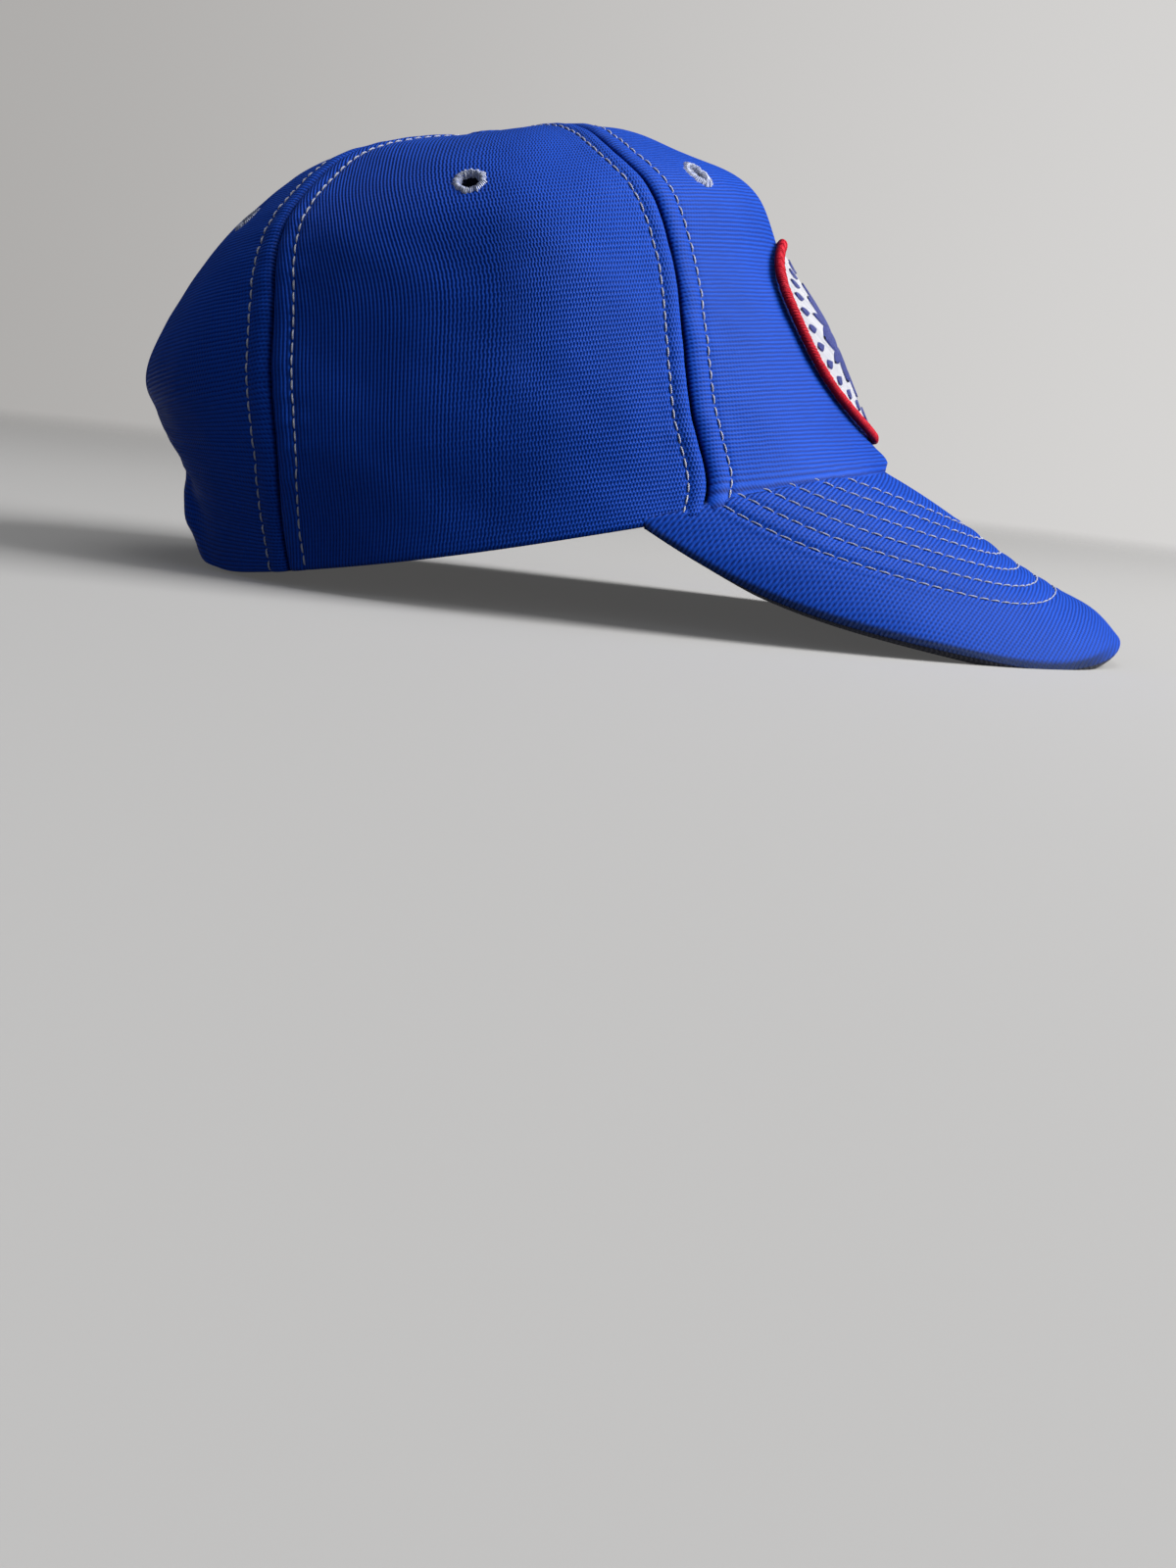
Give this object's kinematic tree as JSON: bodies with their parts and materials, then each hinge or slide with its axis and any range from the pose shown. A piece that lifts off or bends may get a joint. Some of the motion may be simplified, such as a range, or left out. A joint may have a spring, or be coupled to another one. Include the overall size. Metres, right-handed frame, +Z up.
{
  "type": "trucker cap",
  "caption": "Soft five-panel knit cap with a bowed stitched peak, a round sewn badge on the front and a half-moon opening with a strap at the back.",
  "frame": {"origin": "middle of the box that the cap fills, on the surface that it rests on", "axes": "+X to the front, along the peak; +Y to the wearer's left; +Z up from the surface that the cap rests on"},
  "size_m": [0.2958, 0.164, 0.1338],
  "materials": {
    "knit_cloth": "royal blue ribbed double knit with a soft sheen and pale topstitching",
    "badge_twill": "white twill with blue embroidery",
    "badge_thread": "red overlocked thread",
    "strap_plastic": "moulded, satin"
  },
  "bodies": {
    "root": {"front_panel": "knit_cloth", "side_panel_left": "knit_cloth", "side_panel_right": "knit_cloth", "back_panel_left": "knit_cloth", "back_panel_right": "knit_cloth", "peak": "knit_cloth", "top_button": "knit_cloth", "patch": "badge_twill", "patch_border": "badge_thread", "back_strap": "strap_plastic"}
  },
  "joints": []
}
